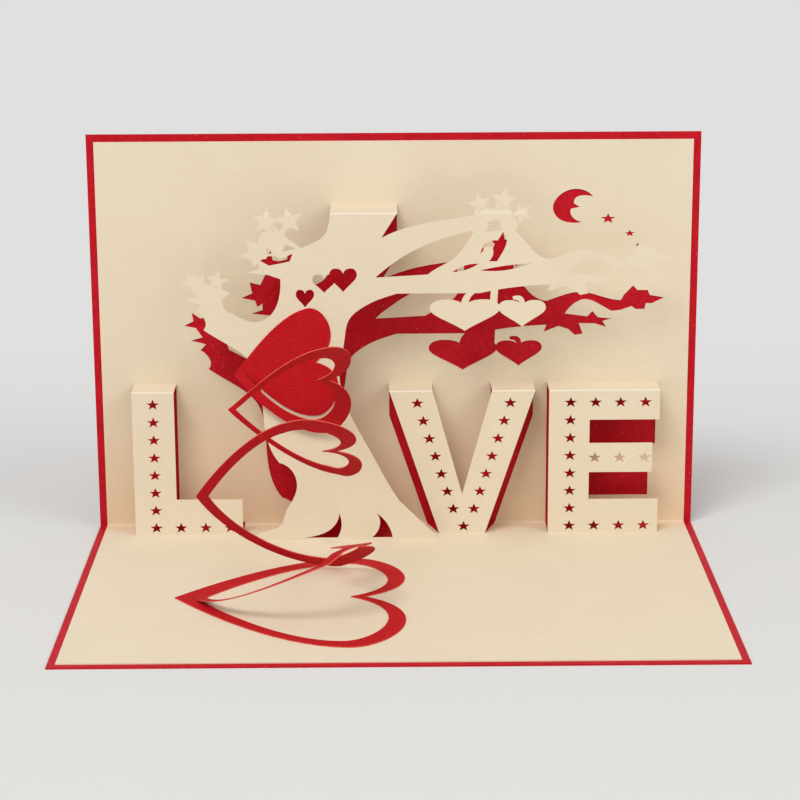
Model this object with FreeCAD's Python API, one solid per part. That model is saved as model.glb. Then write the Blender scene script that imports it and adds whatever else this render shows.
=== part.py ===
import FreeCAD, Part
import math
import os

from FreeCAD import Vector

# A pop up card that stands open at a right angle. A folded cover holds a sheet whose
# letters and tree are cut from it and folded forward, and a spiral of hearts is glued
# to the tree and to the base. Sizes are in millimetres: X along the fold, Y towards
# the back panel, Z up. Places are measured from the fold, at the sheet's own surface.

# Card and papers
card_width = 180.0
panel_length = 120.0
cover_paper = 0.4
sheet_paper = 0.3
heart_paper = 0.3
sheet_margin = 2.2
cover_fold_radius = 0.15

# Letters: how far they stand forward of the back panel, and how high
letter_depth = 10.2
letter_height = 44.2

# Letter L
l_left = -78.1
l_stem_width = 12.5
l_foot_length = 32.2
l_foot_height = 11.0

# Letter V
v_left = -1.8
v_width = 43.3
v_arm_width = 12.8
v_bottom_width = 13.7
v_notch_height = 12.2
v_star_middle = 20.3
v_star_spread_low = 3.1
v_star_spread_top = 13.8

# Letter E
e_left = 45.6
e_width = 32.9
e_stem_width = 12.1
e_middle_length = 30.9
e_bottom_arm_height = 10.4
e_lower_gap = 8.4
e_middle_arm_height = 9.0
e_top_arm_height = 9.2

# Stars cut out of the letters
star_width = 4.1
star_height = 3.5
star_waist = 0.42
star_low = 2.1
star_top_drop = 3.9
star_row_pitch = 7.4
stars_in_column = 8

# Tree: how far it stands forward, how high, and the tab that holds its top
tree_depth = 15.5
tree_height = 98.4
tree_tab_left = -18.6
tree_tab_right = 0.8
tree_foot_left = -43.5
tree_foot_right = 13.1

# Heart spiral. It hangs on a quarter circle about the foot of the tree, from the heart
# on the trunk to the ring on the base. Stations are the corners where two half rings
# meet, tips at even numbers and notches at odd ones.
spiral_radius = 52.5
station_x = (-46.7, -19.1, -47.2, -16.9, -55.0, -14.7, -56.2)
station_lift = (-2.0, 1.6, 1.8, 1.0, 4.3, -2.7, -0.5)
half_ring_reach = (18.9, 18.8, 23.0, 21.6, 29.0, 30.5)
half_ring_lobe_x = (-12.2, -12.0, -9.2, -11.8, -7.0, -7.6)
half_ring_tilt = (83.0, 55.0, 47.0, 60.0, 40.0, 18.0)
strip_width_at_tip = 3.2
strip_width_at_notch = 3.6
strip_width_at_lobe = 3.9
sections_per_half_ring = 10

# Heart on the trunk
trunk_heart_notch_x = -23.3
trunk_heart_upper_reach = 16.5
trunk_heart_upper_lobe_x = -19.0
trunk_heart_lower_reach = 14.6
trunk_heart_lower_lobe_x = -16.4
trunk_heart_slit = 0.5

# Ring on the base
base_ring_tip_x = -61.5
base_ring_notch_x = -9.2
base_ring_lobe_x = 2.1
base_ring_front_reach = 39.6
base_ring_back_reach = 33.2
base_ring_width = 4.4


# Flat outlines, drawn upright in the plane of the back panel

def straight(a, b):
    return Part.makeLine(Vector(a[0], 0, a[1]), Vector(b[0], 0, b[1]))


def smooth(points):
    curve = Part.BSplineCurve()
    curve.interpolate([Vector(x, 0, z) for x, z in points])
    return curve.toShape()


def bezier(points):
    curve = Part.BezierCurve()
    curve.setPoles([Vector(x, 0, z) for x, z in points])
    return curve.toShape()


def outline(start, *steps):
    """A closed face. A step that is a point is a straight edge, and a list is a smooth run."""
    edges = []
    here = start
    for step in steps:
        if isinstance(step, list):
            edges.append(smooth([here] + step))
            here = step[-1]
        else:
            edges.append(straight(here, step))
            here = step
    if here != start:
        edges.append(straight(here, start))
    return Part.Face(Part.Wire(edges))


def sized(scale, steps):
    """The steps of an outline that is drawn at one size and wanted at another."""
    def at_size(point):
        return point[0] * scale, point[1] * scale

    return [[at_size(point) for point in step] if isinstance(step, list) else at_size(step) for step in steps]


def disc(x, z, radius):
    return Part.Face(Part.Wire(Part.makeCircle(radius, Vector(x, 0, z), Vector(0, 1, 0))))


def star(x, z, width, height=None, turn=0.0):
    """A five-pointed star about (x, z), with one point straight up before it is turned."""
    height = height or width
    corners = []
    for i in range(10):
        angle = math.radians(90 + turn + 36 * i)
        reach = 0.5 if i % 2 == 0 else 0.5 * star_waist
        corners.append((x + width * reach * math.cos(angle), z + height * reach * math.sin(angle)))
    return outline(corners[0], *corners[1:])


def heart(x, z, width, height):
    """An upright heart with its tip at (x, z)."""
    half = 0.5 * width
    left, right = [], []
    for side, edges in ((-1, left), (1, right)):
        edges.append(bezier([(x, z + 0.78 * height), (x + side * 0.1 * half, z + 0.95 * height),
                             (x + side * 0.3 * half, z + height), (x + side * 0.55 * half, z + height)]))
        edges.append(bezier([(x + side * 0.55 * half, z + height), (x + side * 0.85 * half, z + height),
                             (x + side * half, z + 0.88 * height), (x + side * half, z + 0.72 * height)]))
        edges.append(bezier([(x + side * half, z + 0.72 * height), (x + side * half, z + 0.48 * height),
                             (x + side * 0.4 * half, z + 0.3 * height), (x, z)]))
    return Part.Face(Part.Wire(right + left[::-1]))


# Paper cut to those outlines

def upright(face, front, thickness):
    """Gives an outline its thickness, with its front at y = front."""
    return face.extrude(Vector(0, thickness, 0)).translated(Vector(0, front, 0))


def joined(solids):
    return solids[0].fuse(solids[1:]) if len(solids) > 1 else solids[0]


def box(x0, x1, y0, y1, z0, z1):
    return Part.makeBox(x1 - x0, y1 - y0, z1 - z0, Vector(x0, y0, z0))


def largest(shape):
    """What is left of a panel when the loose scraps have fallen out of its windows."""
    return max(shape.Solids, key=lambda solid: solid.Volume)


def fold_round(x0, x1, y, z, start_angle):
    """The rounded outside of a fold: a quarter rod along X, as thick as the sheet."""
    rod = Part.makeCylinder(sheet_paper, x1 - x0, Vector(0, 0, 0), Vector(0, 0, 1), 90)
    rod.rotate(Vector(0, 0, 0), Vector(0, 0, 1), start_angle)
    rod.rotate(Vector(0, 0, 0), Vector(1, 1, 1), 120)
    return rod.translated(Vector(x0, y, z))


under_fold_angle = 270
over_fold_angle = 90


def pop_up(faces, holes, depth, height, tabs, feet):
    """A figure folded forward on a step of the given depth and height.

    Returns the figure's paper and the window that it leaves in the back panel. The
    figure is cut where it lay flat, one depth lower than where it stands, so its window
    has its own outline, with a slot above it from which each tab was folded.
    """
    paper = joined([upright(face, -depth, sheet_paper) for face in faces])
    if holes:
        paper = paper.cut([upright(hole, -depth - 1, sheet_paper + 2) for hole in holes])
    folds = []
    window = [upright(face, -1, sheet_paper + 2).translated(Vector(0, 0, -depth)) for face in faces]
    for x0, x1 in tabs:
        paper = paper.cut(box(x0, x1, -depth - 1, 0, height - sheet_paper, height + 1))
        folds.append(box(x0, x1, sheet_paper - depth, 0, height - sheet_paper, height))
        folds.append(fold_round(x0, x1, sheet_paper - depth, height - sheet_paper, over_fold_angle))
        folds.append(fold_round(x0, x1, 0, height, under_fold_angle))
        window.append(box(x0, x1, -1, sheet_paper + 1, height - depth, height))
    for x0, x1 in feet:
        folds.append(fold_round(x0, x1, -depth, 0, under_fold_angle))
    return paper.fuse(folds), joined(window)


# Letters

def letter_l():
    stem_right = l_left + l_stem_width
    foot_right = l_left + l_foot_length
    face = outline((l_left, 0), (foot_right, 0), (foot_right, l_foot_height),
                   (stem_right, l_foot_height), (stem_right, letter_height), (l_left, letter_height))
    column = l_left + 0.5 * l_stem_width
    holes = star_column(column) + star_row(column, star_low, 3)
    return pop_up([face], holes, letter_depth, letter_height, [(l_left, stem_right)], [(l_left, foot_right)])


def letter_v():
    right = v_left + v_width
    middle = v_left + 0.5 * v_width
    bottom_left = middle - 0.5 * v_bottom_width
    bottom_right = middle + 0.5 * v_bottom_width
    face = outline((bottom_left, 0), (bottom_right, 0), (right, letter_height),
                   (right - v_arm_width, letter_height), (middle, v_notch_height),
                   (v_left + v_arm_width, letter_height), (v_left, letter_height))
    holes = [letter_star(v_star_middle, star_low)]
    for i in range(1, stars_in_column):
        share = (i - 1) / (stars_in_column - 2)
        spread = v_star_spread_low + share * (v_star_spread_top - v_star_spread_low)
        for side in (-1, 1):
            holes.append(letter_star(v_star_middle + side * spread, star_level(i)))
    tabs = [(v_left, v_left + v_arm_width), (right - v_arm_width, right)]
    return pop_up([face], holes, letter_depth, letter_height, tabs, [(bottom_left, bottom_right)])


def letter_e():
    right = e_left + e_width
    stem_right = e_left + e_stem_width
    middle_right = e_left + e_middle_length
    middle_bottom = e_bottom_arm_height + e_lower_gap
    middle_top = middle_bottom + e_middle_arm_height
    top_bottom = letter_height - e_top_arm_height
    face = outline((e_left, 0), (right, 0), (right, e_bottom_arm_height), (stem_right, e_bottom_arm_height),
                   (stem_right, middle_bottom), (middle_right, middle_bottom), (middle_right, middle_top),
                   (stem_right, middle_top), (stem_right, top_bottom), (right, top_bottom),
                   (right, letter_height), (e_left, letter_height))
    column = e_left + 0.53 * e_stem_width
    holes = star_column(column)
    for level in (star_low, 0.5 * (middle_bottom + middle_top), star_level(stars_in_column - 1)):
        holes += star_row(column, level, 3)
    return pop_up([face], holes, letter_depth, letter_height, [(e_left, right)], [(e_left, right)])


def letter_star(x, z):
    return star(x, z, star_width, star_height)


def star_level(i):
    """The height of the i-th star of a column, counted from the foot."""
    return star_low + i * (letter_height - star_top_drop - star_low) / (stars_in_column - 1)


def star_column(x):
    return [letter_star(x, star_level(i)) for i in range(stars_in_column)]


def star_row(column, z, count):
    return [letter_star(column + (i + 1) * star_row_pitch, z) for i in range(count)]


# Tree, with its stars, the two figures on its branch and the hearts below it

# The tree's outlines are drawn for a tree this high, and brought to its height
drawn_for_height = 98.4


def tree_trunk():
    """The trunk with its branches, from the left foot over the top to the right foot."""
    left_side = (
        [(-38.2, 2.8), (-34.4, 4.4), (-32.7, 8.7), (-30.6, 12.4), (-29.3, 17.2), (-30.6, 21.2),
         (-34.4, 23.8)],
        [(-37.2, 28.8), (-38.7, 36.0), (-39.3, 46.0), (-41.5, 53.6), (-47.6, 59.0), (-55.8, 64.2)],
        [(-55.1, 66.2), (-55.9, 68.1), (-58.1, 70.0)],
        (-56.4, 71.8), (-60.9, 73.0), (-57.4, 74.0), (-59.3, 76.8), (-62.8, 77.5), (-60.0, 78.9),
        (-60.4, 81.5), (-57.8, 79.7), (-55.2, 80.6), (-55.5, 77.9), (-50.6, 76.4), (-47.8, 75.2),
        (-50.4, 73.0), (-49.6, 70.2),
        [(-44.2, 67.3), (-40.6, 66.4), (-36.3, 68.4), (-33.8, 73.0), (-33.2, 79.2)],
        (-36.6, 80.4), (-42.8, 81.1), (-39.3, 82.2), (-39.3, 84.1), (-40.8, 83.1), (-41.5, 85.0),
        (-45.5, 85.9), (-42.3, 87.3), (-43.0, 90.6), (-39.8, 89.8), (-38.4, 92.8), (-34.0, 93.2),
        (-27.0, 88.3),
    )
    shoulder = [(-23.4, 89.8), (-20.5, 91.8), (-19.1, 94.8)]
    right_side = (
        (-3.9, 91.0),
        [(1.5, 93.4), (7.4, 95.0), (14.6, 96.2), (23.2, 97.6)],
        (25.6, 99.4), (33.4, 99.6), (34.2, 96.8), (28.0, 96.0), (21.8, 93.0),
        [(13.1, 90.6), (4.5, 86.8), (-1.9, 82.6), (-5.7, 79.4)],
        (9.1, 80.2), (45.5, 84.6),
        [(50.0, 86.2), (54.0, 87.1), (58.0, 86.8), (62.4, 85.5), (67.4, 84.6)],
        (68.2, 86.2), (70.9, 89.0), (72.2, 87.6), (75.3, 87.6), (75.9, 86.1), (80.2, 85.3), (76.5, 83.5),
        (74.8, 83.6), (74.4, 81.8), (71.8, 81.8), (70.6, 82.7), (67.1, 81.5), (64.6, 81.3),
        [(60.2, 83.8), (56.4, 84.9), (53.4, 83.6), (50.7, 80.6)],
        (57.4, 79.7), (58.9, 81.3), (60.6, 79.4), (64.5, 79.0), (62.0, 78.2), (63.1, 76.4), (59.7, 77.5),
        (54.9, 77.6), (56.1, 74.4), (53.8, 74.0), (51.8, 75.8), (48.8, 76.8), (44.4, 75.0), (45.2, 77.2),
        [(38.7, 76.8), (31.0, 75.9), (24.7, 74.7)],
        (0.6, 74.7),
        [(-4.9, 72.9), (-10.1, 70.2), (-13.4, 67.0), (-14.6, 62.5), (-15.3, 58.0)],
        [(-16.4, 50.0), (-13.4, 38.6), (-8.0, 28.2), (-2.9, 18.4), (0.9, 12.0)],
    )
    root = [(6.6, 6.3)]
    scale = tree_height / drawn_for_height
    shoulder, root = sized(scale, (shoulder, root))
    return outline((tree_foot_left, 0), *sized(scale, left_side), shoulder + [(tree_tab_left, tree_height)],
                   (tree_tab_right, tree_height), *sized(scale, right_side), root + [(tree_foot_right, 0)])


# Stars at the ends of the branches: place, size and turn
branch_stars = (
    (-30.5, 96.2, 8.6, 10), (-37.2, 96.0, 8.4, -8), (-33.5, 91.8, 7.4, 30), (-51.6, 78.6, 7.0, -12),
    (24.6, 100.8, 7.2, 12), (31.4, 101.9, 8.2, -10), (36.6, 98.0, 6.8, 25),
)


def seated_figures():
    """Two plain seated shapes, side by side on the branch."""
    left_body = outline((9.1, 79.8), [(12.6, 82.3), (17.4, 85.2), (20.6, 89.2), (22.8, 92.4)], (30.6, 93.0),
                        (29.0, 80.0))
    right_body = outline((27.0, 80.0), (29.0, 93.0), (34.6, 93.2), [(36.8, 91.0), (39.8, 87.4), (45.4, 84.4)],
                         (46.0, 80.0))
    return [left_body, disc(24.4, 94.4, 2.5), right_body, disc(32.9, 94.9, 2.5)]


def hanging_hearts():
    """Two hearts that hang from the branch by their ribbons."""
    hearts = [heart(20.3, 63.5, 20.4, 9.3), heart(37.0, 64.7, 13.8, 7.8)]
    ribbons = [
        outline((19.2, 70.4), [(19.8, 73.4), (22.6, 75.8)], (25.4, 75.6), [(22.0, 73.4), (21.4, 70.4)]),
        outline((27.6, 71.4), (29.7, 70.6), (30.0, 76.4), (27.9, 75.8)),
        outline((36.2, 70.4), [(36.0, 72.2), (34.4, 72.7)], (34.2, 73.6), [(36.8, 73.6), (37.8, 70.4)]),
    ]
    return hearts + ribbons


def tree_holes():
    twin_hearts = [heart(-15.0, 75.2, 8.0, 7.0), heart(-20.5, 75.0, 6.8, 5.5), heart(-26.1, 70.7, 5.3, 5.3)]
    root_slits = [
        outline((-27.6, 0.5), [(-22.7, 1.5), (-19.4, 3.2), (-17.4, 5.8), (-16.9, 8.1)],
                [(-16.2, 4.6), (-17.4, 0.5)]),
        outline((-6.1, 8.3), [(-4.9, 6.4), (-4.9, 4.0), (-7.3, 0.5)], (-1.0, 0.5),
                [(-2.6, 4.8), (-6.1, 8.3)]),
    ]
    by_figures = [
        outline((27.2, 84.0), [(28.5, 86.2), (28.2, 88.4)], (26.4, 88.2), (24.8, 86.2),
                [(26.2, 89.2), (29.8, 90.2)], (31.3, 92.6), [(32.4, 90.8), (31.4, 87.0), (29.6, 84.0)]),
        outline((16.6, 80.9), [(19.8, 82.7), (24.4, 83.4)], [(20.8, 81.6), (16.6, 80.9)]),
        outline((24.6, 81.4), [(31.5, 82.7), (39.4, 83.4)], [(32.5, 81.4), (24.6, 81.4)]),
    ]
    between_stars = [
        outline((-37.1, 88.7), (-35.0, 86.8), (-37.1, 86.4)),
        outline((-39.0, 84.6), (-36.4, 83.1), (-30.4, 84.3), (-29.4, 86.8), (-33.0, 84.9), (-34.6, 86.1),
                (-36.6, 85.9)),
        outline((-32.6, 87.2), (-31.4, 89.4), (-28.6, 88.0)),
    ]
    return twin_hearts + root_slits + by_figures + between_stars


def tree():
    scale = tree_height / drawn_for_height
    drawn = [star(x, z, size, None, turn) for x, z, size, turn in branch_stars]
    drawn += seated_figures()
    drawn += hanging_hearts()
    holes = tree_holes()
    for face in drawn + holes:
        face.scale(scale)
    return pop_up([tree_trunk()] + drawn, holes, tree_depth, tree_height,
                  [(tree_tab_left, tree_tab_right)], [(tree_foot_left, tree_foot_right)])


def moon_and_sky():
    """The crescent and the three stars, drawn for a panel 120 mm high."""
    moon = outline((58.6, 100.3),
                   [(55.8, 102.2), (52.6, 102.5), (48.6, 100.6), (46.8, 97.3), (48.2, 94.0), (51.2, 92.6),
                    (55.6, 92.7)],
                   [(53.2, 93.6), (52.0, 95.2), (52.1, 96.6)], (54.7, 97.2), (53.0, 98.2),
                   [(53.4, 99.8), (55.6, 100.6), (58.6, 100.3)])
    sky_stars = ((63.1, 93.6, 4.6), (69.6, 89.2, 3.2), (72.1, 85.7, 1.8))
    shapes = [moon] + [star(x, z, size, 0.7 * size) for x, z, size in sky_stars]
    for shape in shapes:
        shape.scale(panel_length / 120)
    return shapes


# Inner sheet: one piece of paper, folded at the gutter

def inner_sheet():
    half_width = 0.5 * card_width - sheet_margin
    reach = panel_length - cover_paper - sheet_paper - sheet_margin
    pops = [letter_l(), tree(), letter_v(), letter_e()]
    windows = [window for paper, window in pops]
    floor_windows = []
    for window in windows:
        laid = window.copy()
        laid.rotate(Vector(0, 0, 0), Vector(1, 0, 0), -90)
        floor_windows.append(laid)
    back = box(-half_width, half_width, 0, sheet_paper, 0, reach)
    back = back.cut(windows + [upright(hole, -1, sheet_paper + 2) for hole in moon_and_sky()])
    base = box(-half_width, half_width, -reach, 0, -sheet_paper, 0).cut(floor_windows)
    gutter = fold_round(-half_width, half_width, 0, 0, under_fold_angle).cut(windows)
    pieces = [largest(back), largest(base), gutter] + [paper for paper, window in pops]
    return joined(pieces).removeSplitter()


# Cover: one piece of card, folded round the sheet

def cover():
    inside = sheet_paper
    outside = sheet_paper + cover_paper
    inner_radius = cover_fold_radius
    outer_radius = cover_fold_radius + cover_paper
    reach = panel_length - outside
    corner = math.sqrt(0.5)
    centre_y = inside - inner_radius
    centre_z = inner_radius - inside

    def point(y, z):
        return Vector(-0.5 * card_width, y, z)

    def bend(radius):
        start = point(centre_y + radius, centre_z)
        middle = point(centre_y + corner * radius, centre_z - corner * radius)
        end = point(centre_y, centre_z - radius)
        return start, middle, end

    in_top, in_middle, in_low = bend(inner_radius)
    out_top, out_middle, out_low = bend(outer_radius)
    edges = [
        Part.makeLine(point(inside, reach), in_top),
        Part.Arc(in_top, in_middle, in_low).toShape(),
        Part.makeLine(in_low, point(-reach, -inside)),
        Part.makeLine(point(-reach, -inside), point(-reach, -outside)),
        Part.makeLine(point(-reach, -outside), out_low),
        Part.Arc(out_low, out_middle, out_top).toShape(),
        Part.makeLine(out_top, point(outside, reach)),
        Part.makeLine(point(outside, reach), point(inside, reach)),
    ]
    return Part.Face(Part.Wire(edges)).extrude(Vector(card_width, 0, 0))


# Heart spiral: one sheet of paper, a heart and the rings cut round it in one long strip

def half_heart(tip, notch, lobe, reach):
    """The two curves of half a heart from its tip to its notch, as (x, distance from the axis)."""
    length = lobe - tip
    widest = tip + 0.77 * length
    side = [(tip, 0), (tip + 0.11 * length, 0.28 * reach), (widest - 0.27 * length, reach), (widest, reach)]
    round_lobe = [(widest, reach), (widest + 0.18 * length, reach), (lobe + 0.16 * length, 0.31 * reach),
                  (notch, 0)]
    return side, round_lobe


def along(curves, share):
    """A point of a half heart, share 0 at its tip and 1 at its notch."""
    joint = 0.55
    poles = curves[0] if share < joint else curves[1]
    t = share / joint if share < joint else (share - joint) / (1 - joint)
    weights = ((1 - t) ** 3, 3 * t * (1 - t) ** 2, 3 * t * t * (1 - t), t ** 3)
    return tuple(sum(w * pole[i] for w, pole in zip(weights, poles)) for i in (0, 1))


def between(values, place):
    """Reads a list of values at a place between its entries."""
    low = min(int(place), len(values) - 2)
    return values[low] + (values[low + 1] - values[low]) * (place - low)


def tilt_at(place):
    """The slope of the strip: upright at the trunk, flat on the base, given halfway along each half ring."""
    mids = (90.0,) + half_ring_tilt + (0.0,)
    if place < 0.5:
        return mids[0] + (mids[1] - mids[0]) * 2 * place
    last = len(half_ring_tilt)
    if place > last - 0.5:
        return mids[-2] * 2 * (last - place)
    return between(mids, place + 0.5)


def strip_section(number, share):
    """The four corners of the strip's cross section, share 0 to 1 along a half ring."""
    place = number + share
    downward = number % 2 == 0
    tip, notch = (number, number + 1) if downward else (number + 1, number)
    side = -1 if downward else 1
    from_tip = share if downward else 1 - share
    lobe = half_ring_lobe_x[number]
    reach = half_ring_reach[number]
    outer = along(half_heart(station_x[tip], station_x[notch], lobe, reach), from_tip)
    inner = along(half_heart(station_x[tip] + strip_width_at_tip, station_x[notch] - strip_width_at_notch,
                             lobe - strip_width_at_lobe, reach - strip_width_at_lobe), from_tip)
    swing = math.radians(90 * (1 - place / len(half_ring_tilt)))
    tilt = math.radians(tilt_at(place))
    radius = spiral_radius + between(station_lift, place)
    axis = Vector(0, -tree_depth - radius * math.cos(swing), heart_paper + radius * math.sin(swing))
    outward = Vector(0, -math.cos(tilt), math.sin(tilt))
    through = Vector(0, -math.sin(tilt), -math.cos(tilt)) * heart_paper
    near = axis + Vector(inner[0], 0, 0) + outward * (side * inner[1])
    far = axis + Vector(outer[0], 0, 0) + outward * (side * outer[1])
    return [near, near + through, far + through, far]


def flat_face(*corners):
    return Part.Face(Part.makePolygon(list(corners) + [corners[0]]))


def hanging_strip():
    """The strip from the trunk to the base, bent in short flat facets."""
    sections = [strip_section(0, 0)]
    for number in range(len(half_ring_tilt)):
        for i in range(1, sections_per_half_ring + 1):
            sections.append(strip_section(number, i / sections_per_half_ring))
    faces = [flat_face(*sections[0]), flat_face(*sections[-1])]
    for here, ahead in zip(sections, sections[1:]):
        for i in range(4):
            j = (i + 1) % 4
            faces.append(flat_face(here[i], here[j], ahead[j]))
            faces.append(flat_face(here[i], ahead[j], ahead[i]))
    return Part.makeSolid(Part.makeShell(faces))


def trunk_heart():
    """The solid heart, glued to the trunk. The strip leaves it at its tip."""
    tip_x = station_x[0]
    root_x = tip_x + strip_width_at_tip
    slit_x = root_x + trunk_heart_slit
    tip_z = heart_paper + spiral_radius + station_lift[0]
    notch_z = heart_paper + spiral_radius + station_lift[1]
    slope = (notch_z - tip_z) / (trunk_heart_notch_x - slit_x)

    def placed(curve, side):
        return bezier([(x, tip_z + max(0, x - slit_x) * slope + side * q) for x, q in curve])

    upper = half_heart(tip_x, trunk_heart_notch_x, trunk_heart_upper_lobe_x, trunk_heart_upper_reach)
    lower = half_heart(slit_x, trunk_heart_notch_x, trunk_heart_lower_lobe_x, trunk_heart_lower_reach)
    edges = [placed(upper[0], 1), placed(upper[1], 1), placed(lower[1], -1), placed(lower[0], -1)]
    edges.append(straight((slit_x, tip_z), (root_x, tip_z)))
    edges.append(straight((root_x, tip_z), (tip_x, tip_z)))
    return upright(Part.Face(Part.Wire(edges)), -tree_depth - heart_paper, heart_paper)


def base_ring():
    """The outermost ring, glued flat to the base. The strip reaches it inside its tip."""
    centre = -tree_depth - spiral_radius - station_lift[-1]
    end_x = station_x[-1]

    def loop(front_tip, back_tip, notch, lobe, front_reach, back_reach):
        front = half_heart(front_tip, notch, lobe, front_reach)
        back = half_heart(back_tip, notch, lobe, back_reach)
        edges = [bezier([(x, centre - q) for x, q in curve]) for curve in front]
        edges += [bezier([(x, centre + q) for x, q in curve]) for curve in back[::-1]]
        if front_tip != back_tip:
            edges.append(straight((back_tip, centre), (front_tip, centre)))
        return Part.Face(Part.Wire(edges))

    outer = loop(base_ring_tip_x, base_ring_tip_x, base_ring_notch_x, base_ring_lobe_x,
                 base_ring_front_reach, base_ring_back_reach)
    inner = loop(end_x, end_x + strip_width_at_tip, base_ring_notch_x - strip_width_at_notch,
                 base_ring_lobe_x - base_ring_width, base_ring_front_reach - base_ring_width,
                 base_ring_back_reach - base_ring_width)
    ring = upright(outer, 0, heart_paper).cut(upright(inner, -1, heart_paper + 2))
    ring.rotate(Vector(0, 0, 0), Vector(1, 0, 0), -90)
    return ring.translated(Vector(0, 0, heart_paper))


def heart_spiral():
    return joined([hanging_strip(), trunk_heart(), base_ring()])


# Placed with the card's underside on z = 0 and the middle of its footprint at the origin

to_origin = Vector(0, 0.5 * panel_length - cover_paper - sheet_paper, cover_paper + sheet_paper)

os.makedirs("parts", exist_ok=True)
for name, make in (("cover", cover), ("inner_sheet", inner_sheet), ("heart_spiral", heart_spiral)):
    shape = make().translated(to_origin)
    print(name, "solids", len(shape.Solids), "valid", shape.isValid(), "mm3", round(shape.Volume, 1))
    solid = shape.Solids[0] if len(shape.Solids) == 1 else shape
    solid.exportStep(os.path.join("parts", name + ".step"))
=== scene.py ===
import math

import bmesh
import bpy
from mathutils import Matrix, Vector


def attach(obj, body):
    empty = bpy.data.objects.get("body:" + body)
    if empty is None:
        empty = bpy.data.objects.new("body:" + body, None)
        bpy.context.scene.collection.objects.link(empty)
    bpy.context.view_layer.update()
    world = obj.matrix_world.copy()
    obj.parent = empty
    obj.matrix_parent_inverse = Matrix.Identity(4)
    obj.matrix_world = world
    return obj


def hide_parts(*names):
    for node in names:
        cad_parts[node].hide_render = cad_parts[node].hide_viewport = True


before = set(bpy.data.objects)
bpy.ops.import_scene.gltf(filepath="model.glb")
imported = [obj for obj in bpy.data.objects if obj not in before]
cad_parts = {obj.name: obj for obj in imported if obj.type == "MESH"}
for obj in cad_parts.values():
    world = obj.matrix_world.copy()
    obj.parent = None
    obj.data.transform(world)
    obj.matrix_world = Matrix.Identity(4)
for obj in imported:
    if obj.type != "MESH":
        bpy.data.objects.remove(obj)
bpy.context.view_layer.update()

# Camera. A long lens about 0.66 m in front of the card and 0.21 m up, as in the
# photograph, aimed by its own heading, downward tilt and slight lean.
camera_place = Vector((-0.0034, -0.6092, 0.2118))
heading = 0.00727
downward = 0.25224
lean = -0.00465
forward = Vector((math.sin(heading) * math.cos(downward), math.cos(heading) * math.cos(downward),
                  -math.sin(downward)))
level = Vector((math.cos(heading), -math.sin(heading), 0))
upward = level.cross(forward)
side = level * math.cos(lean) + upward * math.sin(lean)
top = upward * math.cos(lean) - level * math.sin(lean)
lens = bpy.data.cameras.new("camera")
lens.sensor_width = 36
lens.lens = 103.3   # millimetres
camera = bpy.data.objects.new("camera", lens)
camera.matrix_world = Matrix.Translation(camera_place) @ Matrix((side, top, -forward)).transposed().to_4x4()
bpy.context.scene.collection.objects.link(camera)
bpy.context.scene.camera = camera


# Cover. Red pearl card, one sheet scored and folded once at the gutter, with a fine
# mottle and small pale flecks of mica in its face.

def new_material(name):
    """A material with its nodes, its links and its shader."""
    material = bpy.data.materials.new(name)
    material.use_nodes = True
    nodes = material.node_tree.nodes
    return material, nodes, material.node_tree.links, nodes["Principled BSDF"]


def own_place(nodes):
    """Where a point lies on the object."""
    return nodes.new("ShaderNodeTexCoord").outputs["Object"]


def fill(links, node, **values):
    """Sets a node's sockets by name: a plain value is written there, and an output is linked."""
    for name, value in values.items():
        socket = node.inputs[name.replace("_", " ")]
        if isinstance(value, bpy.types.NodeSocket):
            links.new(value, socket)
        else:
            socket.default_value = value
    return node


def reckon(nodes, links, operation, *values):
    """A Math node on values and outputs."""
    node = nodes.new("ShaderNodeMath")
    node.operation = operation
    for socket, value in zip(node.inputs, values):
        if isinstance(value, bpy.types.NodeSocket):
            links.new(value, socket)
        else:
            socket.default_value = value
    return node.outputs[0]


def laid_over(nodes, links, factor, below, above):
    """One colour over another. Either is a colour or an output."""
    mix = nodes.new("ShaderNodeMix")
    mix.data_type = "RGBA"
    links.new(factor, mix.inputs[0])
    for socket, colour in ((mix.inputs[6], below), (mix.inputs[7], above)):
        if isinstance(colour, bpy.types.NodeSocket):
            links.new(colour, socket)
        else:
            socket.default_value = colour
    return mix.outputs[2]


def smooth_range(nodes, links, value, low, high, at_low=0.0, at_high=1.0):
    """Turns a value that runs from low to high into one that runs smoothly from at_low to at_high."""
    node = nodes.new("ShaderNodeMapRange")
    node.interpolation_type = "SMOOTHSTEP"
    fill(links, node, Value=value, From_Min=low, From_Max=high, To_Min=at_low, To_Max=at_high)
    return node.outputs["Result"]


# The grain that every paper here has: slow clouds in the pulp, fine fibres along its
# run, a tone between a deep and a light colour, and a very low relief.
paper_grain = bpy.data.node_groups.new("paper_grain", "ShaderNodeTree")
grain_inputs = (
    ("Vector", "NodeSocketVector", (0, 0, 0)),
    ("Run", "NodeSocketVector", (1, 1, 1)),
    ("Cloud Scale", "NodeSocketFloat", 50),
    ("Fibre Scale", "NodeSocketFloat", 900),
    ("Cloud Share", "NodeSocketFloat", 0.5),
    ("Relief", "NodeSocketFloat", 0.00003),
    ("Deep", "NodeSocketColor", (0.5, 0.5, 0.5, 1)),
    ("Light", "NodeSocketColor", (0.6, 0.6, 0.6, 1)),
)
for label, kind, plain in grain_inputs:
    paper_grain.interface.new_socket(label, in_out="INPUT", socket_type=kind).default_value = plain
for label, kind in (("Colour", "NodeSocketColor"), ("Normal", "NodeSocketVector")):
    paper_grain.interface.new_socket(label, in_out="OUTPUT", socket_type=kind)
nodes, links = paper_grain.nodes, paper_grain.links
given = nodes.new("NodeGroupInput").outputs
along_run = nodes.new("ShaderNodeVectorMath")
along_run.operation = "MULTIPLY"
links.new(given["Vector"], along_run.inputs[0])
links.new(given["Run"], along_run.inputs[1])
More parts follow.
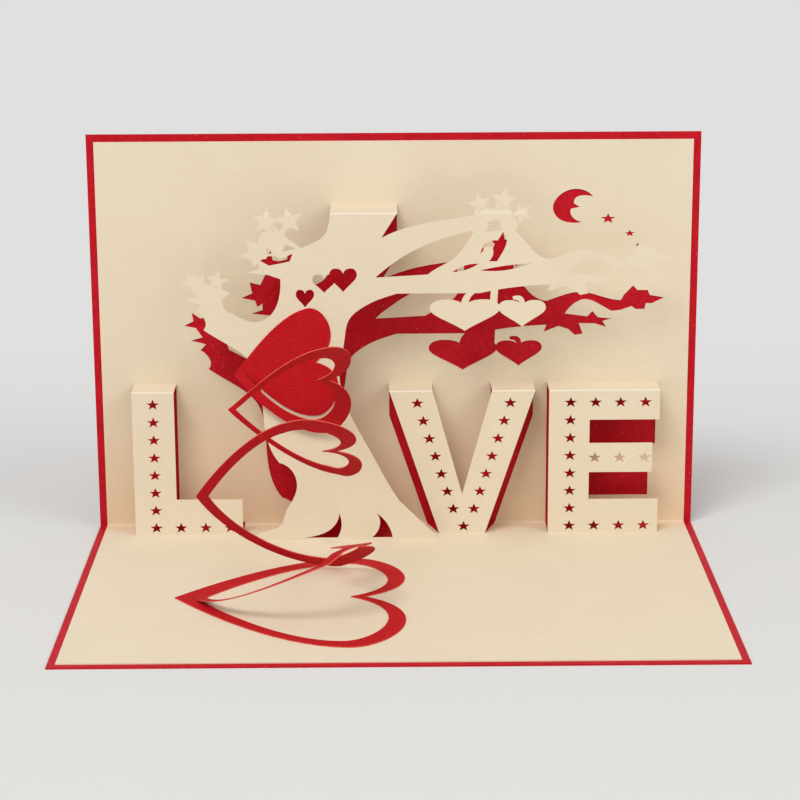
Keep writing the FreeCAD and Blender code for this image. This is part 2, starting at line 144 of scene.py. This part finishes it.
clouds = fill(links, nodes.new("ShaderNodeTexNoise"), Vector=given["Vector"], Scale=given["Cloud Scale"],
              Detail=4)
fibres = fill(links, nodes.new("ShaderNodeTexNoise"), Vector=along_run.outputs[0], Scale=given["Fibre Scale"],
              Detail=4)
even = reckon(nodes, links, "SUBTRACT", clouds.outputs["Fac"], fibres.outputs["Fac"])
grain = reckon(nodes, links, "MULTIPLY_ADD", even, given["Cloud Share"], fibres.outputs["Fac"])
relief = fill(links, nodes.new("ShaderNodeBump"), Height=grain, Distance=given["Relief"])
result = nodes.new("NodeGroupOutput").inputs
tone = smooth_range(nodes, links, grain, 0.34, 0.66)
links.new(laid_over(nodes, links, tone, given["Deep"], given["Light"]), result["Colour"])
links.new(relief.outputs["Normal"], result["Normal"])


def grained(nodes, links, **values):
    """The paper grain with a material's own values, by the names of its inputs."""
    group = nodes.new("ShaderNodeGroup")
    group.node_tree = paper_grain
    return fill(links, group, **values).outputs


pearl_deep = (0.455, 0.004, 0.011, 1)
pearl_light = (0.555, 0.009, 0.020, 1)
mica = (0.70, 0.20, 0.20, 1)
fleck_pitch = 0.0016
fleck_size = 0.085      # share of the pitch
flecks_left_out = 0.72  # share of the places

pearl_card, nodes, links, shader = new_material("pearl_card")
place = own_place(nodes)
face = grained(nodes, links, Vector=place, Cloud_Scale=160, Fibre_Scale=1100, Cloud_Share=0.35,
               Relief=0.00003, Deep=pearl_deep, Light=pearl_light)
flecks = fill(links, nodes.new("ShaderNodeTexVoronoi"), Vector=place, Scale=1 / fleck_pitch)
chosen = fill(links, nodes.new("ShaderNodeSeparateColor"), Color=flecks.outputs["Color"])
small = reckon(nodes, links, "LESS_THAN", flecks.outputs["Distance"], fleck_size)
few = reckon(nodes, links, "GREATER_THAN", chosen.outputs["Red"], flecks_left_out)
fleck = reckon(nodes, links, "MULTIPLY", small, few)
fill(links, shader, Base_Color=laid_over(nodes, links, fleck, face["Colour"], mica), Roughness=0.5,
     Specular_IOR_Level=0.10, Normal=face["Normal"])

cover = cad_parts["cover"]
cover.data.materials.clear()
cover.data.materials.append(pearl_card)


# Inner sheet. Smooth cream paper, cut and folded forward in one piece with its letters
# and tree. Warm shade is painted into it towards the gutter, and a highlight is painted along its folds.

cream_deep = (0.765, 0.658, 0.492, 1)
cream_light = (0.79, 0.685, 0.522, 1)
# Painted warm shade, laid over the cream behind and below the letters
painted_warm_shade = (0.790, 0.600, 0.400, 1)
# Painted highlight along the scored folds
painted_fold_highlight = (0.88, 0.80, 0.66, 1)
gutter_y = 0.0593
base_top = 0.0007
letter_front = gutter_y - 0.0102
letter_top = base_top + 0.0442
tree_front = gutter_y - 0.0155
tree_top = base_top + 0.0984
fold_highlight_half_width = 0.00028
painted_shade_above_letters = 0.012
folds = ((gutter_y, base_top), (letter_front, letter_top), (tree_front, tree_top))

cream_paper, nodes, links, shader = new_material("cream_paper")
face = grained(nodes, links, Vector=own_place(nodes), Run=(0.5, 1, 1), Cloud_Scale=55, Fibre_Scale=900,
               Cloud_Share=0.55, Relief=0.00002, Deep=cream_deep, Light=cream_light)
place = fill(links, nodes.new("ShaderNodeSeparateXYZ"), Vector=own_place(nodes))
nearest = None
for fold_y, fold_z in folds:
    from_y = reckon(nodes, links, "SUBTRACT", place.outputs["Y"], fold_y)
    from_z = reckon(nodes, links, "SUBTRACT", place.outputs["Z"], fold_z)
    square = reckon(nodes, links, "MULTIPLY_ADD", from_y, from_y,
                    reckon(nodes, links, "MULTIPLY", from_z, from_z))
    nearest = square if nearest is None else reckon(nodes, links, "MINIMUM", nearest, square)
distance = reckon(nodes, links, "SQRT", nearest)
# A painted highlight on the paper within a fraction of a millimetre of each fold
fold_highlight_mask = smooth_range(nodes, links, distance, fold_highlight_half_width, 2.2 * fold_highlight_half_width, 0.5, 0.0)
# Painted warm shade: behind the letters, low down and near the gutter, the colour turns warmer and darker
behind = smooth_range(nodes, links, place.outputs["Y"], letter_front, gutter_y)
low = smooth_range(nodes, links, place.outputs["Z"], base_top, letter_top + painted_shade_above_letters, 1.0, 0.0)
painted_shade_mask = reckon(nodes, links, "MULTIPLY", behind, low)
paper = laid_over(nodes, links, painted_shade_mask, face["Colour"], painted_warm_shade)
fill(links, shader, Base_Color=laid_over(nodes, links, fold_highlight_mask, paper, painted_fold_highlight), Roughness=0.66,
     Specular_IOR_Level=0.12, Normal=face["Normal"])

inner_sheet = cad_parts["inner_sheet"]
inner_sheet.data.materials.clear()
inner_sheet.data.materials.append(cream_paper)


# Paper in the fork of the branches. The cut leaves this wedge of the back panel
# standing in the window, held by a narrow tie behind the left seated figure.

def at(x, y, z):
    """A place given in millimetres from the fold, at the sheet's own surface, in the frame."""
    return Vector((x, y, z)) * 0.001 + Vector((0, gutter_y, base_top))


def finished(mesh_data, name, materials):
    """Makes the bmesh a piece on the card."""
    mesh = bpy.data.meshes.new(name)
    mesh_data.to_mesh(mesh)
    mesh_data.free()
    for material in materials:
        mesh.materials.append(material)
    piece = bpy.data.objects.new(name, mesh)
    bpy.context.scene.collection.objects.link(piece)
    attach(piece, "root")
    return piece


sheet_paper = 0.3
wedge_top = ((-5.7, 63.9), (-3.9, 65.6), (-1.9, 67.1), (1.2, 69.3), (4.5, 71.3), (8.7, 73.4), (13.1, 75.1))
wedge_tie = ((18.6, 76.7), (18.6, 81.3), (20.6, 81.6), (20.6, 77.2))
wedge_point = ((21.8, 77.5), (22.8, 76.9))
wedge_underside = ((20.6, 73.7), (17.4, 69.7), (12.6, 66.8), (9.1, 64.7))
wedge_outline = wedge_top + wedge_tie + wedge_point + wedge_underside

wedge = bmesh.new()
wedge_face = wedge.faces.new([wedge.verts.new(at(x, 0, z)) for x, z in wedge_outline])
walls = bmesh.ops.extrude_face_region(wedge, geom=[wedge_face])
back = [item for item in walls["geom"] if isinstance(item, bmesh.types.BMVert)]
bmesh.ops.translate(wedge, verts=back, vec=(0, 0.001 * sheet_paper, 0))
bmesh.ops.recalc_face_normals(wedge, faces=wedge.faces)

# The extrusion gives its faces in a chance order, so they are sorted by their corners
wedge.verts.index_update()
wedge.faces.sort(key=lambda face: sum(corner.index for corner in face.verts))
finished(wedge, "fork_wedge", [cream_paper])


# Heart spiral. One sheet of red laid paper: a solid heart glued to the trunk, with
# heart rings cut round it in one long strip that hangs down to the ring glued on the base.

# Millimetres and degrees. A station is where the strip crosses the hearts' axis, at a
# tip (0, 2, 4, 6) or a notch (1, 3, 5), and a half ring runs from one to the next.
spiral_radius = 52.5
tree_depth = 15.5
heart_paper = 0.3
station_x = (-47.2, -19.1, -47.4, -16.9, -55.1, -14.7, -56.2)
station_lift = (-2.0, 1.6, 1.8, 1.0, 4.3, -2.7, -0.5)
half_ring_reach = (18.9, 16.6, 19.6, 24.2, 34.8, 29.1)
half_ring_lobe_x = (-12.9, -13.4, -10.9, -8.9, -4.9, -7.7)
half_ring_tilt = (76.0, 59.0, 60.0, 53.0, 49.0, 27.6)
half_ring_rise = (0.0, 1.7, 0.0, 0.0, 5.6, 1.1)
half_ring_fullness = (0.28, 0.05, 0.17, 0.34, 0.48, 0.60)
half_ring_widest_at = (0.77, 0.82, 0.85, 0.57, 0.70, 0.79)
half_ring_width = (4.4, 4.4, 3.3, 4.4, 4.4, 4.4)
tip_width = (3.4, 2.3, 3.4, 3.4)
notch_width = 3.7
base_tip_x = -61.5
base_notch_x = -9.2
base_lobe_x = 2.1
base_width = 4.4
base_reach = (39.6, 33.2)   # front, back
solid_notch_x = -23.3
solid_upper = (-19.0, 16.5)   # lobe, reach
solid_lower = (-16.2, 16.1)
solid_slit = 0.5
steps_per_half = 36


def half_heart(tip, notch, lobe, reach, fullness=0.25, widest_at=0.77):
    """The two curves of half a heart from its tip to its notch, as (x, distance from the axis)."""
    length = lobe - tip
    widest = tip + widest_at * length
    flank = [(tip, 0), (tip + 0.11 * length, fullness * reach), (widest - 0.4 * widest_at * length, reach),
             (widest, reach)]
    round_lobe = [(widest, reach), (widest + 0.18 * length, reach), (lobe + 0.16 * length, 0.31 * reach),
                  (notch, 0)]
    return flank, round_lobe


def along(curves, share):
    """A point of a half heart, share 0 at its tip and 1 at its notch."""
    joint = 0.42
    poles = curves[0] if share < joint else curves[1]
    t = share / joint if share < joint else (share - joint) / (1 - joint)
    weights = ((1 - t) ** 3, 3 * t * (1 - t) ** 2, 3 * t * t * (1 - t), t ** 3)
    return tuple(sum(w * pole[i] for w, pole in zip(weights, poles)) for i in (0, 1))


def between(values, place):
    """Reads a row of values at a place that may lie between two of them."""
    low = min(int(place), len(values) - 2)
    return values[low] + (values[low + 1] - values[low]) * (place - low)


def tilt_at(place):
    """The slope of the strip: upright at the trunk and flat on the base."""
    mids = (90.0,) + half_ring_tilt + (0.0,)
    if place < 0.5:
        return mids[0] + (mids[1] - mids[0]) * 2 * place
    if place > 5.5:
        return mids[-2] * 2 * (6 - place)
    return between(mids, place + 0.5)


def strip_section(number, share):
    """The strip's inner and outer edge at a share of a half ring, each with its place in the flat paper."""
    place = number + share
    downward_half = number % 2 == 0
    tip, notch = (number, number + 1) if downward_half else (number + 1, number)
    turn = -1 if downward_half else 1
    from_tip = share if downward_half else 1 - share
    form = half_ring_fullness[number], half_ring_widest_at[number]
    width = half_ring_width[number]
    lobe, reach = half_ring_lobe_x[number], half_ring_reach[number]
    outer = along(half_heart(station_x[tip], station_x[notch], lobe, reach, *form), from_tip)
    inner = along(half_heart(station_x[tip] + tip_width[tip // 2], station_x[notch] - notch_width,
                             lobe - width, reach - width, *form), from_tip)
    swing = math.radians(90 * (1 - place / 6))
    tilt = math.radians(tilt_at(place))
    radius = spiral_radius + between(station_lift, place)
    rise = half_ring_rise[number] * math.sin(math.pi * from_tip)
    axis = Vector((0, -tree_depth - radius * math.cos(swing), heart_paper + radius * math.sin(swing) + rise))
    outward = Vector((0, -math.cos(tilt), math.sin(tilt)))
    section = []
    for x, q in (inner, outer):
        section.append((at(*(axis + Vector((x, 0, 0)) + outward * (turn * q))), (x, turn * q)))
    return section


def base_section(half, share):
    """The same on the ring that lies on the base. Half 0 is in front and half 1 behind."""
    centre = -tree_depth - spiral_radius - station_lift[-1]
    reach, turn = base_reach[half], (-1, 1)[half]
    inner_tip = station_x[-1] + (0 if half == 0 else tip_width[-1])
    from_tip = share if half == 0 else 1 - share
    outer = along(half_heart(base_tip_x, base_notch_x, base_lobe_x, reach), from_tip)
    inner = along(half_heart(inner_tip, base_notch_x - notch_width, base_lobe_x - base_width,
                             reach - base_width), from_tip)
    return [(at(x, centre + turn * q, heart_paper), (x, -turn * q)) for x, q in (inner, outer)]


def run_strip(mesh, flat, sections):
    """Draws the strip out by extruding its edge from each section to the next, and returns its last edge."""
    ends = [mesh.verts.new(place) for place, paper_place in sections[0]]
    edge = mesh.edges.new(ends)
    for vert, (place, paper_place) in zip(ends, sections[0]):
        flat[vert] = paper_place
    for section in sections[1:]:
        drawn = bmesh.ops.extrude_edge_only(mesh, edges=[edge])["geom"]
        fresh = [item for item in drawn if isinstance(item, bmesh.types.BMVert)]
        ends = [next(vert for vert in fresh if mesh.edges.get((end, vert))) for end in ends]
        for vert, (place, paper_place) in zip(ends, section):
            vert.co = place
            flat[vert] = paper_place
        edge = mesh.edges.get(ends)
    return edge


spiral = bmesh.new()
flat = {}
shares = [i / steps_per_half for i in range(steps_per_half + 1)]
hanging = [strip_section(0, 0)]
for number in range(6):
    hanging += [strip_section(number, share) for share in shares[1:]]
run_strip(spiral, flat, hanging)
home = run_strip(spiral, flat, [base_section(0, share) for share in shares]
                 + [base_section(1, share) for share in shares[1:]])

# The hanging strip lands on the inner part of the base ring's last edge, so that edge is split there
outer_end = min(home.verts, key=lambda vert: vert.co.x)
meeting = (base_tip_x - station_x[-1]) / (base_tip_x - station_x[-1] - tip_width[-1])
met, landing = bmesh.utils.edge_split(home, outer_end, meeting)
flat[landing] = (station_x[-1], 0)

# The solid heart: its upper half, its lower half up to the slit, and the root of the strip at its tip
root_x = station_x[0] + tip_width[0]
slit_x = root_x + solid_slit
tip_z = heart_paper + spiral_radius + station_lift[0]
notch_z = heart_paper + spiral_radius + station_lift[1]
slope = (notch_z - tip_z) / (solid_notch_x - slit_x)
upper = half_heart(station_x[0], solid_notch_x, *solid_upper)
lower = half_heart(slit_x, solid_notch_x, *solid_lower)
heart_rim = [(along(upper, share), 1) for share in shares]
heart_rim += [(along(lower, share), -1) for share in reversed(shares[:-1])]
heart_rim.append(((root_x, 0), -1))
heart_verts = []
for (x, q), turn in heart_rim:
    vert = spiral.verts.new(at(x, -tree_depth, tip_z + max(0, x - slit_x) * slope + turn * q))
    flat[vert] = (x, turn * q)
    heart_verts.append(vert)
spiral.faces.new(heart_verts)
bmesh.ops.remove_doubles(spiral, verts=spiral.verts, dist=1e-7)

# Every face looks back and up, towards the glued side, and the paper's thickness goes the other way
glued_side = Vector((0, 1, 1))
spiral.normal_update()
bmesh.ops.reverse_faces(spiral, faces=[face for face in spiral.faces if face.normal.dot(glued_side) < 0])
paper_map = spiral.loops.layers.uv.new("flat_paper")
for surface in spiral.faces:
    surface.smooth = True
    for loop in surface.loops:
        loop[paper_map].uv = Vector(flat[loop.vert]) * 0.001
for edge in spiral.edges:
    edge.smooth = not edge.is_boundary

rib_pitch = 0.0010
wave_for_pitch = 0.314   # a wave texture of scale 1 repeats every 0.314
laid_deep = (0.475, 0.0045, 0.009, 1)
laid_light = (0.545, 0.009, 0.016, 1)
# Painted shade for the valleys between the ribs
painted_rib_valley_shade = (0.43, 0.004, 0.008, 1)

laid_paper, nodes, links, shader = new_material("laid_paper")
sheet_place = nodes.new("ShaderNodeUVMap")
sheet_place.uv_map = "flat_paper"
face = grained(nodes, links, Vector=sheet_place.outputs["UV"], Run=(0.4, 1, 1), Cloud_Scale=120,
               Fibre_Scale=1500, Cloud_Share=0.3, Relief=0.00002, Deep=laid_deep, Light=laid_light)
ribs = nodes.new("ShaderNodeTexWave")
ribs.bands_direction = "Y"
fill(links, ribs, Vector=sheet_place.outputs["UV"], Scale=wave_for_pitch / rib_pitch, Distortion=0.5,
     Detail=1, Detail_Scale=0.4)
# Painted shade darkens the colour in the valleys between the ribs
rib_valley_mask = smooth_range(nodes, links, ribs.outputs["Fac"], 0.0, 0.5, 0.55, 0.0)
rib_relief = fill(links, nodes.new("ShaderNodeBump"), Height=ribs.outputs["Fac"], Distance=0.00003,
                  Strength=0.6, Normal=face["Normal"])
fill(links, shader, Base_Color=laid_over(nodes, links, rib_valley_mask, face["Colour"], painted_rib_valley_shade), Roughness=0.62,
     Specular_IOR_Level=0.12, Normal=rib_relief.outputs["Normal"])

# The cut edges of the red paper, with a painted highlight that makes them paler than its face
edge_highlight_deep = (0.60, 0.075, 0.055, 1)
edge_highlight_light = (0.74, 0.15, 0.11, 1)
cut_edge, nodes, links, shader = new_material("red_paper_cut_edge")
face = grained(nodes, links, Vector=own_place(nodes), Cloud_Scale=300, Fibre_Scale=2500, Cloud_Share=0.3,
               Relief=0.00002, Deep=edge_highlight_deep, Light=edge_highlight_light)
fill(links, shader, Base_Color=face["Colour"], Roughness=0.8, Specular_IOR_Level=0.1, Normal=face["Normal"])

spiral_piece = finished(spiral, "heart_spiral_paper", [laid_paper, cut_edge])
thickness = spiral_piece.modifiers.new("paper_thickness", "SOLIDIFY")
thickness.thickness = 0.001 * heart_paper
thickness.offset = -1
thickness.use_even_offset = True
thickness.material_offset_rim = 1
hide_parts("heart_spiral")


# Studio. A pale grey floor that fades into a plain pale wall, one large soft lamp in
# front and above, slightly from the left, and a weaker one from the right.

floor_deep = (0.685, 0.682, 0.670, 1)
floor_light = (0.700, 0.697, 0.685, 1)
wall_grey = (0.742, 0.742, 0.736, 1)
fade_from = 0.04
fade_to = 0.32
card_half_width = 0.10
floor_half_width = 3.5

studio_floor, nodes, links, shader = new_material("studio_floor")
face = grained(nodes, links, Vector=own_place(nodes), Cloud_Scale=2, Fibre_Scale=40, Cloud_Share=0.9,
               Relief=0.00001, Deep=floor_deep, Light=floor_light)
fill(links, shader, Base_Color=face["Colour"], Roughness=0.9, Specular_IOR_Level=0.05)
place = fill(links, nodes.new("ShaderNodeSeparateXYZ"), Vector=own_place(nodes))
across = reckon(nodes, links, "ABSOLUTE", place.outputs["X"])
beside = reckon(nodes, links, "SUBTRACT", across, card_half_width)
away = reckon(nodes, links, "MAXIMUM", place.outputs["Y"], beside)
far = smooth_range(nodes, links, away, fade_from, fade_to)
rays = nodes.new("ShaderNodeLightPath").outputs
seen = reckon(nodes, links, "MAXIMUM", rays["Is Camera Ray"],
              reckon(nodes, links, "MAXIMUM", rays["Is Glossy Ray"], rays["Is Transmission Ray"]))
wall = fill(links, nodes.new("ShaderNodeEmission"), Color=wall_grey)
either = nodes.new("ShaderNodeMixShader")
links.new(reckon(nodes, links, "MULTIPLY", far, seen), either.inputs[0])
links.new(shader.outputs["BSDF"], either.inputs[1])
links.new(wall.outputs["Emission"], either.inputs[2])
links.new(either.outputs["Shader"], nodes["Material Output"].inputs["Surface"])

sweep = bmesh.new()
floor_line = ((-2.5, 0), (0.9, 0))
curve = ((1.15, 0.04), (1.35, 0.14), (1.5, 0.3), (1.6, 0.55), (1.65, 0.9))
wall_top = ((1.65, 3.0),)
profile = [sweep.verts.new((-floor_half_width, y, z)) for y, z in floor_line + curve + wall_top]
edges = [sweep.edges.new(pair) for pair in zip(profile, profile[1:])]
swept = bmesh.ops.extrude_edge_only(sweep, edges=edges)
moved = [item for item in swept["geom"] if isinstance(item, bmesh.types.BMVert)]
bmesh.ops.translate(sweep, verts=moved, vec=(2 * floor_half_width, 0, 0))
bmesh.ops.recalc_face_normals(sweep, faces=sweep.faces)
floor_mesh = bpy.data.meshes.new("studio_floor")
sweep.to_mesh(floor_mesh)
sweep.free()
floor_mesh.shade_smooth()
floor = bpy.data.objects.new("studio_floor", floor_mesh)
floor.data.materials.append(studio_floor)
bpy.context.scene.collection.objects.link(floor)


def soft_lamp(name, place, aim, size, watts):
    """A rectangular lamp at a place, turned to what it lights."""
    data = bpy.data.lights.new(name, "AREA")
    data.shape = "RECTANGLE"
    data.size = size[0]
    data.size_y = size[1]
    data.energy = watts
    lamp = bpy.data.objects.new(name, data)
    lamp.location = place
    lamp.rotation_euler = (Vector(aim) - Vector(place)).to_track_quat("-Z", "Y").to_euler()
    bpy.context.scene.collection.objects.link(lamp)


soft_lamp("key", (-0.75, -1.45, 2.1), (0, 0, 0.04), (1.2, 0.9), 35)
soft_lamp("fill", (1.5, -1.1, 1.2), (0, 0, 0.05), (1.0, 1.0), 10)

world = bpy.data.worlds.new("studio")
world.use_nodes = True
world.node_tree.nodes["Background"].inputs["Color"].default_value = (1, 0.995, 0.985, 1)
world.node_tree.nodes["Background"].inputs["Strength"].default_value = 0.56
bpy.context.scene.world = world
bpy.context.scene.view_settings.view_transform = "Standard"
